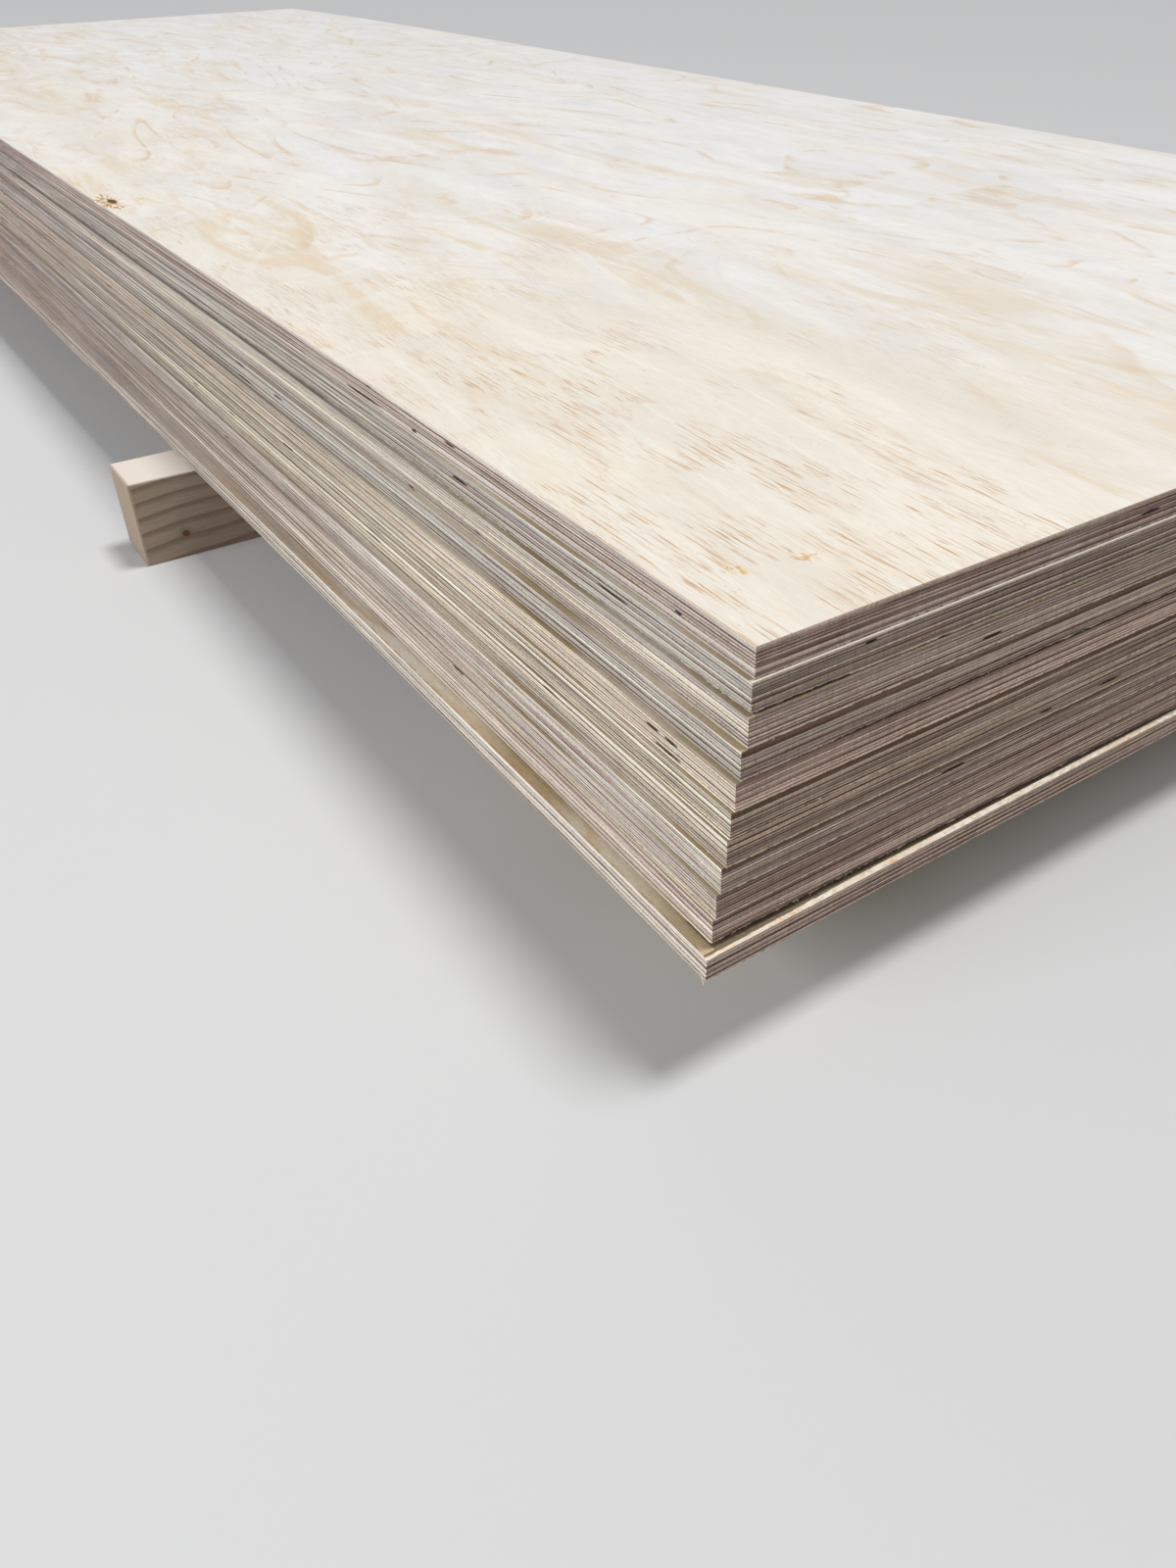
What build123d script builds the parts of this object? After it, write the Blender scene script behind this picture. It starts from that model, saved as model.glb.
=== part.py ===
from build123d import *
import math
import os

# Plywood sheet, all eleven alike (mm)
sheet_length = 3600.0
sheet_width = 1200.0
sheet_thickness = 18.3
ply_count = 9
cross_ply_recess = 0.4

# Air between sheets: closed joints, and the few that stand open
closed_gap = 0.3
open_gap = 0.9

# Place of each pile sheet, top sheet first: how far its near corner stands off
# sideways and endways, its turn in plan in degrees, and the air under it
pile_sheets = (
    (0.0, 0.0, 0.00, closed_gap),
    (-2.5, -2.3, 0.02, open_gap),
    (-4.4, -4.0, 0.03, closed_gap),
    (-8.4, -5.0, 0.05, open_gap),
    (-10.7, -5.4, 0.04, closed_gap),
    (-12.4, -5.4, 0.07, open_gap),
    (-13.2, -5.0, 0.10, closed_gap),
    (-15.6, -4.7, 0.12, closed_gap),
    (-17.6, -4.5, 0.16, closed_gap),
    (-18.7, -4.0, 0.20, open_gap),
)

# Base sheet, which lies on the bearers a little out of square with the pile
base_side_step = -26.0
base_end_step = -10.0
base_turn = 0.6

# Fall of the overhanging sheet ends past the bearers
pile_droop = 5.5
base_near_droop = 8.0

# Torn-out face veneer along the base sheet's near end
torn_width = 4.2
torn_depth = 1.2

# Open knot in the top sheet's left edge: a shallow hollow
knot_distance = 1185.0
knot_length = 60.0
knot_reach = 14.0
knot_depth = 2.0

# Bruise under the near left corner of the lowest pile sheet
bruise_length = 60.0
bruise_depth = 2.0

# Lowest veneer torn away under the near end: sheet, start, end and height of the tear
torn_undersides = (
    (2, 0.0, 70.0, 1.0),
    (4, 65.0, 700.0, 1.0),
    (6, 0.0, 90.0, 0.8),
    (10, 0.0, 1200.0, 2.0),
)
tear_reach = 4.0

# Gaps between core veneers that show at the sawn edges, numbered like the plies from
# the top: sheet, edge, distance from the near left corner, ply and length
core_gaps = (
    (1, "side", 63.0, 5, 6.0),
    (1, "side", 371.0, 6, 8.0),
    (1, "side", 456.0, 6, 62.0),
    (2, "side", 123.0, 3, 30.0),
    (2, "side", 303.0, 2, 22.0),
    (4, "side", 727.0, 1, 24.0),
    (4, "side", 720.0, 7, 29.0),
    (5, "side", 57.0, 3, 12.0),
    (5, "side", 74.0, 3, 12.0),
    (5, "side", 59.0, 7, 26.0),
    (6, "side", 618.0, 3, 25.0),
    (8, "side", 792.0, 7, 11.0),
    (9, "side", 302.0, 6, 19.0),
    (1, "end", 302.0, 4, 19.0),
    (2, "end", 80.0, 1, 8.5),
    (3, "end", 178.0, 5, 16.0),
    (7, "end", 257.0, 6, 12.0),
    (7, "end", 318.0, 6, 22.0),
    (8, "end", 181.0, 3, 22.0),
)
core_gap_height = 1.4
core_gap_reach = 6.0

# Timber bearers across the underside
bearer_height = 94.0
bearer_width = 68.0
bearer_setback = 873.0
bearer_left_overhang = 106.5
bearer_right_overhang = 93.5
bearer_arris = 1.0
broken_corner_width = 28.0
broken_corner_height = 4.0
broken_corner_length = 25.0

# Spare length past the sheet outline while a layer is being trimmed to it
trim = 60.0


def fall(reach, droop):
    """Drop of an end arc at a distance past the bearer that it starts from."""
    radius = (bearer_setback**2 + droop**2) / (2 * droop)
    return radius - math.sqrt(radius**2 - reach**2)


def lie(level, near_droop, far_droop):
    """Height line of a layer: flat between the bearers, an arc at each free end."""
    near_bearer = bearer_setback
    far_bearer = sheet_length - bearer_setback
    reach = bearer_setback + trim

    def near_point(share):
        return (near_bearer - share * reach, level - fall(share * reach, near_droop))

    def far_point(share):
        return (far_bearer + share * reach, level - fall(share * reach, far_droop))

    near_arc = ThreePointArc(near_point(1), near_point(0.5), near_point(0))
    flat = Line(near_point(0), far_point(0))
    far_arc = ThreePointArc(far_point(0), far_point(0.5), far_point(1))
    return near_arc, flat, far_arc


def layer(top, thickness, near_droop, far_droop):
    """Untrimmed layer of the given thickness under the height line at top."""
    upper = lie(top, near_droop, far_droop)
    lower = lie(top - thickness, near_droop, far_droop)
    near_end = Line(lower[0] @ 0, upper[0] @ 0)
    far_end = Line(upper[2] @ 1, lower[2] @ 1)
    side_view = make_face([near_end, *upper, far_end, *lower])
    width = sheet_width + 4 * trim
    return extrude(Plane.YZ.offset(-2 * trim) * side_view, amount=width)


def outline(place, inset, depth):
    """Upright prism over the sheet's plan, drawn in by inset on every side."""
    plan = Rectangle(
        sheet_width - 2 * inset,
        sheet_length - 2 * inset,
    )
    centre = Pos(sheet_width / 2, sheet_length / 2)
    return extrude(place * centre * plan, amount=depth)


def sheet(top, side_step, end_step, turn, near_droop=pile_droop):
    """One sheet: a trimmed slab with its cross-laid plies set back at the sawn edges."""
    ply = sheet_thickness / ply_count
    floor = top - sheet_thickness - 2 * near_droop
    depth = sheet_thickness + 3 * near_droop
    place = Pos(side_step, end_step, floor) * Rot(0, 0, turn)
    body = layer(top, sheet_thickness, near_droop, pile_droop) & outline(place, 0, depth)
    rim = outline(place, -trim / 2, depth) - outline(place, cross_ply_recess, depth)
    for index in range(1, ply_count, 2):
        body -= layer(top - index * ply, ply, near_droop, pile_droop) & rim
    return body


def scoop(middle, outward, length, depth):
    """Ball that cuts a shallow hollow of the given length and depth at a surface."""
    radius = ((length / 2) ** 2 + depth**2) / (2 * depth)
    centre = Vector(*middle) + Vector(*outward).normalized() * (radius - depth)
    return Pos(centre) * Sphere(radius)


def torn_strip(end_level):
    """Wedge over the base sheet's near top arris, where the veneer has torn away."""
    profile = Polyline(
        (-torn_width, -2 * torn_depth),
        (2 * torn_width, torn_depth),
        (-torn_width, torn_depth),
        close=True,
    )
    strip = extrude(Plane.YZ * make_face(profile), amount=sheet_width + trim)
    place = Pos(base_side_step, base_end_step, end_level) * Rot(0, 0, base_turn)
    return place * Pos(-trim / 2, 0, 0) * strip


def torn_underside(start, end, height):
    """Prism along a sheet's near lower arris, where its lowest veneer has torn away."""
    profile = Polyline(
        (-tear_reach, -height),
        (tear_reach, -height),
        (tear_reach, 0),
        (0, height),
        (-tear_reach, height),
        close=True,
    )
    return Pos(start, 0, 0) * extrude(Plane.YZ * make_face(profile), amount=end - start)


def core_gap(edge, distance, ply, length):
    """Slot between two core veneers, open at the near end or the left side of a sheet."""
    slot = extrude(Plane.XZ * SlotOverall(length, core_gap_height), amount=core_gap_reach, both=True)
    depth = (ply + 0.5) * sheet_thickness / ply_count
    if edge == "end":
        return Pos(distance, 0, -pile_droop - depth) * slot
    reach = max(0.0, bearer_setback - distance)
    return Pos(0, distance, -fall(reach, pile_droop) - depth) * Rot(0, 0, 90) * slot


def bearer(setback, far_side):
    """Sawn timber across the pile, with eased arrises and one broken end corner."""
    length = bearer_left_overhang + sheet_width + bearer_right_overhang
    timber = Box(length, bearer_width, bearer_height, align=Align.MIN)
    timber = fillet(timber.edges().filter_by(Axis.X), bearer_arris)
    breakage = Polyline(
        (0, 0),
        (broken_corner_length, 0),
        (0, broken_corner_height),
        close=True,
    )
    wedge = extrude(Plane.XZ * make_face(breakage), amount=-broken_corner_width)
    wedge = Pos(0, bearer_width - broken_corner_width, 0) * wedge
    timber -= wedge
    if far_side:
        timber = mirror(timber, about=Plane.XZ.offset(-bearer_width / 2))
    return Pos(-bearer_left_overhang, setback, 0) * timber


# Stack the pieces upwards from the floor
parts = {
    "bearer_near": bearer(bearer_setback, False),
    "bearer_far": bearer(sheet_length - bearer_setback - bearer_width, True),
}
level = bearer_height + sheet_thickness
base = sheet(level, base_side_step, base_end_step, base_turn, base_near_droop)
parts["base_sheet"] = base - torn_strip(level - base_near_droop)
for number in range(len(pile_sheets), 0, -1):
    side_step, end_step, turn, gap_under = pile_sheets[number - 1]
    level += gap_under + sheet_thickness
    parts[f"sheet_{number:02d}"] = sheet(level, side_step, end_step, turn)
    corner = Pos(side_step, end_step, level) * Rot(0, 0, turn)
    lower_arris = corner * Pos(0, 0, -sheet_thickness - pile_droop)
    for torn_sheet, start, end, height in torn_undersides:
        if torn_sheet == number:
            parts[f"sheet_{number:02d}"] -= lower_arris * torn_underside(start, end, height)
    for gap_sheet, edge, distance, ply, length in core_gaps:
        if gap_sheet == number:
            parts[f"sheet_{number:02d}"] -= corner * core_gap(edge, distance, ply, length)
    if number == len(pile_sheets):
        bruised = (side_step + bruise_length / 2, end_step, level - sheet_thickness - pile_droop)
        bruise = scoop(bruised, (0, -1, -1), bruise_length, bruise_depth)
        parts[f"sheet_{number:02d}"] -= bruise
knot = (knot_reach - knot_length / 2, knot_distance, level)
parts["sheet_01"] -= scoop(knot, (0, 0, 1), knot_length, knot_depth)

# Origin at floor level under the middle of the whole stack
boxes = [piece.bounding_box() for piece in parts.values()]
middle_x = (min(box.min.X for box in boxes) + max(box.max.X for box in boxes)) / 2
middle_y = (min(box.min.Y for box in boxes) + max(box.max.Y for box in boxes)) / 2
to_origin = Pos(-middle_x, -middle_y, 0)

os.makedirs("parts", exist_ok=True)
for name, piece in parts.items():
    export_step(to_origin * piece, f"parts/{name}.step")
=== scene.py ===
"""Looks of a pile of plywood sheets on two timber bearers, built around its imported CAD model."""

import math
import random

import bmesh
import bpy
from bpy.props import FloatProperty, FloatVectorProperty, IntProperty, PointerProperty
from mathutils import Matrix, Vector, noise


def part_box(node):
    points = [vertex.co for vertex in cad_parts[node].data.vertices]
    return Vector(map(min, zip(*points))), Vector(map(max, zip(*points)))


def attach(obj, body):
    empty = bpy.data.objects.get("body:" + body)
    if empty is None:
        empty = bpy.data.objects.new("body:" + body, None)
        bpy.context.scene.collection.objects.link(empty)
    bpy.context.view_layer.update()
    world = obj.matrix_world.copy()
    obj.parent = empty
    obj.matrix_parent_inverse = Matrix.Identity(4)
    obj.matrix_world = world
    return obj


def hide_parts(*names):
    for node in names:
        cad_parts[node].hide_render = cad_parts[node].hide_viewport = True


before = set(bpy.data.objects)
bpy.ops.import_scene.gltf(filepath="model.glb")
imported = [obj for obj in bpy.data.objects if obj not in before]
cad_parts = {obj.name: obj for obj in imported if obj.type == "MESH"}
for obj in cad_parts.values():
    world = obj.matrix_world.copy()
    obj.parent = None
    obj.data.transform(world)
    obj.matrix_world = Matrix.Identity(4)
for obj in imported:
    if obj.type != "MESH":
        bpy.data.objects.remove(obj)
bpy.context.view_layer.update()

bl_info = {
    "name": "Plywood Stack",
    "version": (1, 0, 0),
    "blender": (4, 5, 0),
    "location": "3D View > Sidebar > Plywood",
    "description": "Builds plywood sheets with laminated sawn edges on rough timber bearers",
    "category": "Add Mesh",
}

# Nodes of the frame, top sheet first
SHEET_NODES = sorted(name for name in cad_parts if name.startswith("sheet_"))
BASE_NODE = "base_sheet"
BEARER_NODES = ("bearer_near", "bearer_far")

# Length of edge pattern kept apart for each sheet, so that no two sheets look alike
PATTERN_STEP = 10.0

# Pattern coordinates of a sheet's mesh, and its attribute for the painted shade of torn veneer
EDGE_MAP = "Sheet"
TORN = "torn"

# Material slots of a sheet
FACE, LONG_EDGE, END_EDGE, TORN_STRIP = range(4)

# Points of the flat sheet that are this close to one of its edges lie on it
TOUCH = 1e-6

# Points of a packed sheet that are this close to one of its corners belong to that corner
CORNER_REACH = 0.008

# Steps of the mesh along each edge: first, last and the length over which they widen
LONG_STEPS = (0.002, 0.014, 1.5)
NEAR_STEPS = (0.0016, 0.009, 0.8)
FAR_STEPS = (0.011, 0.011, 1.0)

# Gaps between core veneers at the sawn edges: sheet, distance from the near left corner
# in metres, ply and length
SIDE_GAPS = (
    (1, 0.063, 5, 0.006),
    (1, 0.371, 6, 0.008),
    (1, 0.456, 6, 0.062),
    (2, 0.123, 3, 0.030),
    (2, 0.303, 2, 0.022),
    (4, 0.727, 1, 0.024),
    (4, 0.720, 7, 0.029),
    (5, 0.057, 3, 0.012),
    (5, 0.074, 3, 0.012),
    (5, 0.059, 7, 0.026),
    (6, 0.618, 3, 0.025),
    (8, 0.792, 7, 0.011),
    (9, 0.302, 6, 0.019),
)
END_GAPS = (
    (1, 0.302, 4, 0.019),
    (2, 0.080, 1, 0.0085),
    (3, 0.178, 5, 0.016),
    (7, 0.257, 6, 0.012),
    (7, 0.318, 6, 0.022),
    (8, 0.181, 3, 0.022),
)

# Tint of the edges of the sheets that differ in tone
SHEET_TINTS = {
    1: (0.96, 0.91, 0.93),
    2: (0.96, 0.97, 0.98),
    5: (1.02, 0.98, 0.94),
    6: (1.0, 1.0, 0.93),
    7: (1.0, 0.98, 0.92),
    9: (1.0, 0.97, 0.95),
    10: (1.05, 1.0, 1.0),
}

# Lowest veneer torn away under a sheet's edge: start, end and height of the tear in metres
END_TEARS = {
    2: (0.0, 0.07, 0.0011),
    4: (0.065, 0.7, 0.0014),
    6: (0.0, 0.09, 0.0012),
    10: (0.0, 1.2, 0.002),
}
SIDE_TEARS = {2: (0.0, 1.7, 0.0011)}

# Height from which a tear breaks the arris, height from which its painted shade is full, and
# the most that it draws the arris back, in metres
TEAR_BREAKS, TEAR_FULL_SHADE, TEAR_PULL = 0.0004, 0.0005, 0.0018

# Finer mesh round the open knot: cuts at shares of its reach, and steps along it
KNOT_CUTS = (0.1, 0.25, 0.45, 0.7, 1.0, 1.4)
KNOT_STEPS = 15

# Level above which the points of the top sheet sink with the open knot
KNOT_FLOOR = -0.004

# Torn fibres of a sheet's near end and long side, which keep clear of the corner so that
# none leaves the stack's outline
END_FIBRES, SIDE_FIBRES = 110, 60
CORNER_CLEAR = 0.006

# Clusters of orange resin specks near the corner of the top face: centre and radius
RESIN_POCKETS = (((0.040, 0.066, 0.0), 0.009), ((0.082, 0.059, 0.0), 0.011))

# Colours of the small marks on the top face
RING_DARK = (0.72, 0.54, 0.34)
RING_PALE = (0.90, 0.88, 0.84)
POCKET_ORANGE = (0.70, 0.36, 0.08)
RIM_GOLD = (0.76, 0.48, 0.16)
KNOT_PINK = (0.72, 0.52, 0.48)
KNOT_PALE = (0.90, 0.86, 0.79)
KNOT_GOLD = (0.50, 0.28, 0.08)
KNOT_HEART = (0.17, 0.065, 0.02)

# Tints of the faces that show only as a ledge, with painted shade and shadow, and the orange rim of
# the base sheet's
LEDGE_TAN = (0.97, 0.92, 0.80)
LEDGE_SHADOW_AND_STAIN = (0.72, 0.64, 0.50)
LEDGE_GREY = (0.71, 0.70, 0.79)
LEDGE_SHADE_OLIVE = (1.0, 0.84, 0.60)
LEDGE_ORANGE = (0.55, 0.27, 0.09)

# Colours of fresh torn wood, and the painted shade on its inner part
TORN_TAN = (0.72, 0.58, 0.42)
TORN_CREAM = (0.94, 0.87, 0.76)
TORN_ORANGE = (0.74, 0.40, 0.10)
TORN_SHADE = (0.20, 0.155, 0.10)

# Colours of single marks on the sawn edges, and the tint of the long edges further off
END_ORANGE = (0.40, 0.20, 0.08)
SIDE_MAROON = (0.19, 0.075, 0.06)
SIDE_RED = (0.34, 0.16, 0.13)
SIDE_MAUVE = (0.90, 0.865, 0.915)

# Distance in from the base sheet's near end to where the pile shades its face
NEAR_SHADE = 0.03

# Depth of the face veneer's relief in metres
FACE_RELIEF = 0.00006

# Turn of the camera in plan, its pitch downwards and its roll, in degrees
CAMERA_ANGLES = (57.594, 37.728, 1.067)

# Half the width of the studio floor
FLOOR_REACH = 40.0


def colour(name, description, default):
    """A colour setting, shown as a swatch."""
    return FloatVectorProperty(
        name=name, description=description, default=default, size=3, subtype="COLOR", min=0, max=1
    )


def length(name, description, default):
    """A length setting in metres."""
    return FloatProperty(
        name=name, description=description, default=default, unit="LENGTH", precision=5
    )


class SheetSettings(bpy.types.PropertyGroup):
    """Sizes and colours of the plywood."""

    ply_count: IntProperty(name="Plies", description="Veneers in one sheet", default=9, min=3)
    cross_recess: length(
        "Cross ply recess", "How far the cross-laid plies stand back from the cut", 0.0004
    )
    saw_wander: length("Saw wander", "How far the saw cut strays inwards along an edge", 0.0006)
    lean: length("Lean of the cut", "How far the near ends stand out at their foot", 0.0009)
    fuzz: length("Edge roughness", "Height of the rough wood on the sawn edges", 0.0002)
    ply_wave: length("Ply wave", "How far a glue line strays from level", 0.0004)
    arris: length("Arris", "Worn width of the sheet's sharp edges", 0.0003)
    tear_out: length("Tear-out", "Tallest tear of the lowest veneer along the cuts", 0.0013)
    torn_width: length(
        "Torn strip width", "Width of the torn veneer on the base sheet's near end", 0.0042
    )
    torn_depth: length("Torn strip depth", "Depth of that torn veneer at the very end", 0.0012)
    knot_place: length("Knot place", "Distance of the open edge knot from the near end", 1.185)
    knot_length: length("Knot length", "Length of the open edge knot", 0.06)
    knot_reach: length("Knot reach", "How far the open knot reaches in from the edge", 0.014)
    knot_depth: length("Knot depth", "Depth of the open knot's hollow", 0.002)
    face_cream: colour(
        "Face cream", "Cream wood of the face veneer near the cut", (0.835, 0.775, 0.675)
    )
    # Cream lightened by a painted sheen of reflected sky, used further off
    face_sheen_white: colour(
        "Face white", "Whiter wood of the face veneer further off", (0.855, 0.84, 0.82)
    )
    face_honey: colour("Face honey", "Warm growth figure of the face veneer", (0.77, 0.62, 0.43))
    face_resin: colour("Resin streak", "Fine reddish resin streaks", (0.60, 0.38, 0.21))
    side_pale: colour("Pale ply", "Grey-white plies cut along the grain", (0.68, 0.645, 0.57))
    side_mauve: colour("Mauve ply", "Mauve-grey plies cut along the grain", (0.42, 0.35, 0.32))
    side_beige: colour("Beige ply", "Beige plies cut across the grain", (0.58, 0.525, 0.43))
    side_yellow: colour("Yellow ply", "Golden plies cut across the grain", (0.62, 0.54, 0.375))
    end_tint: colour("End tint", "Tint of the plies at the near and far ends", (0.74, 0.645, 0.615))
    # Also painted as a highlight on the lips of plies
    edge_white: colour("White line", "Bright lines of fresh fibre", (0.84, 0.82, 0.75))
    edge_glue: colour("Glue line", "Mauve-brown glue lines", (0.22, 0.125, 0.105))
    edge_brown: colour("Brown ply", "Dark smooth plies at the ends", (0.21, 0.135, 0.09))
    # Painted shade inside the gaps and tears of the plies
    edge_void_shade: colour("Void", "Dark gaps inside the plies", (0.045, 0.018, 0.014))


class BearerSettings(bpy.types.PropertyGroup):
    """Finish of the sawn timber."""

    # Side colours darker than the wood's own tone, with painted shade in them
    early_wood_in_shade: colour("Early wood", "Pale wood between the growth rings", (0.36, 0.28, 0.21))
    late_wood_in_shade: colour("Late wood", "Darker growth rings", (0.18, 0.115, 0.075))
    planed_wood: colour("Planed wood", "Smooth upper face", (0.84, 0.77, 0.70))
    end_wood: colour("End grain", "Granular sawn ends", (0.45, 0.355, 0.27))
    knot_wood: colour("Knot", "Heart of a knot", (0.16, 0.06, 0.02))


class StageSettings(bpy.types.PropertyGroup):
    """Floor, light and camera."""

    floor_colour: colour("Floor", "Pale studio floor", (0.62, 0.62, 0.62))
    overhead: FloatProperty(
        name="Overhead light", description="Strength of the light from above", default=2.0
    )
    side_power: FloatProperty(
        name="Side light", description="Soft light on the long side", default=370.0, unit="POWER"
    )
    sky: FloatProperty(name="Room light", description="Even light from all round", default=0.22)
    lens: FloatProperty(
        name="Lens", description="Focal length of the camera", default=26.88, unit="CAMERA"
    )
    camera_offset: FloatVectorProperty(
        name="Camera offset",
        description="From the top sheet's near corner",
        default=(-0.3281, -0.3642, 0.2877),
        size=3,
        subtype="XYZ",
        unit="LENGTH",
    )


class Wood:
    """Short way to write a node material.

    Most methods add nodes and return their output. The base colour is painted in layers.
    """

    def __init__(self, name):
        self.material = bpy.data.materials.new(name)
        self.material.use_nodes = True
        self.tree = self.material.node_tree
        self.shader = self.tree.nodes["Principled BSDF"]
        self.base = None

    def feed(self, socket, value):
        if isinstance(value, bpy.types.NodeSocket):
            self.tree.links.new(value, socket)
        elif value is not None:
            if socket.type == "RGBA" and len(value) == 3:
                value = (*value, 1.0)
            socket.default_value = value

    def add(self, kind, **settings):
        node = self.tree.nodes.new(kind)
        for key, value in settings.items():
            setattr(node, key, value)
        return node

    def place(self, origin=(0, 0, 0)):
        """Object coordinates from the given origin."""
        return self.vector("SUBTRACT", self.add("ShaderNodeTexCoord").outputs["Object"], origin)

    def edge_map(self):
        """Distance round the sheet, and depth below its face."""
        return self.add("ShaderNodeUVMap", uv_map=EDGE_MAP).outputs[0]

    def vector(self, operation, first, second=(0, 0, 0)):
        node = self.add("ShaderNodeVectorMath", operation=operation)
        self.feed(node.inputs[0], first)
        self.feed(node.inputs[1], second)
        return node.outputs["Value" if operation in ("LENGTH", "DOT_PRODUCT") else "Vector"]

    def stretch(self, vector, scale):
        return self.vector("MULTIPLY", vector, scale)

    def distance(self, place, centre=(0, 0, 0), scale=(1, 1, 1)):
        """Distance of a place from a centre, each way stretched by its scale."""
        return self.vector("LENGTH", self.stretch(self.vector("SUBTRACT", place, centre), scale))

    def math(self, operation, first, second=None, third=None, clamp=False):
        node = self.add("ShaderNodeMath", operation=operation, use_clamp=clamp)
        for socket, value in zip(node.inputs, (first, second, third)):
            self.feed(socket, value)
        return node.outputs[0]

    def times(self, first, *others):
        for other in others:
            first = self.math("MULTIPLY", first, other)
        return first

    def plus(self, first, *others):
        for other in others:
            first = self.math("ADD", first, other)
        return first

    def minus(self, first, second):
        return self.math("SUBTRACT", first, second)

    def larger(self, first, second):
        return self.math("MAXIMUM", first, second)

    def split(self, vector):
        node = self.add("ShaderNodeSeparateXYZ")
        self.feed(node.inputs[0], vector)
        return node.outputs

    def join(self, x, y, z=0.0):
        node = self.add("ShaderNodeCombineXYZ")
        for socket, value in zip(node.inputs, (x, y, z)):
            self.feed(socket, value)
        return node.outputs[0]

    def noise(self, place, scale, detail=2.0, roughness=0.5, distortion=0.0):
        node = self.add("ShaderNodeTexNoise", noise_dimensions="3D")
        self.feed(node.inputs["Vector"], self.stretch(place, scale))
        node.inputs["Scale"].default_value = 1.0
        node.inputs["Detail"].default_value = detail
        node.inputs["Roughness"].default_value = roughness
        node.inputs["Distortion"].default_value = distortion
        return node.outputs["Fac"]

    def ramp(self, value, low, high, out_low=0.0, out_high=1.0):
        """Smooth step of value between low and high, which may run backwards."""
        if low > high:
            low, high, out_low, out_high = high, low, out_high, out_low
        node = self.add("ShaderNodeMapRange", interpolation_type="SMOOTHSTEP")
        for socket, item in zip(node.inputs, (value, low, high, out_low, out_high)):
            self.feed(socket, item)
        return node.outputs[0]

    def band(self, value, rise, full, fall, end):
        """1 between full and fall, 0 before the rise and after the end."""
        return self.times(self.ramp(value, rise, full), self.ramp(value, end, fall))

    def mix(self, share, first, second, blend="MIX"):
        node = self.add("ShaderNodeMix", data_type="RGBA", blend_type=blend)
        self.feed(node.inputs[0], share)
        self.feed(node.inputs[6], first)
        self.feed(node.inputs[7], second)
        return node.outputs[2]

    def brightness(self, shade, factor):
        """A colour lightened or darkened by a factor."""
        return self.mix(1.0, shade, self.join(factor, factor, factor), "MULTIPLY")

    def paint(self, shade, *shares):
        """Lay a colour over the base, as strongly as the shares multiplied say."""
        self.base = self.mix(self.times(*shares), self.base, shade)

    def tint(self, shade, share=1.0):
        """Multiply the base by a colour, as strongly as the share says."""
        self.base = self.mix(share, self.base, shade, "MULTIPLY")

    def lighten(self, *factors):
        """Lighten or darken the base by the factors multiplied."""
        self.base = self.brightness(self.base, self.times(*factors))

    def finish(self, height, roughness, relief):
        """Colour, gloss and relief of the surface, with the relief's depth in metres."""
        self.feed(self.shader.inputs["Base Color"], self.base)
        self.feed(self.shader.inputs["Roughness"], roughness)
        self.shader.inputs["Specular IOR Level"].default_value = 0.25
        bump = self.add("ShaderNodeBump")
        bump.inputs["Strength"].default_value = 1.0
        bump.inputs["Distance"].default_value = relief
        self.feed(bump.inputs["Height"], height)
        self.feed(self.shader.inputs["Normal"], bump.outputs[0])
        return self.material


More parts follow.
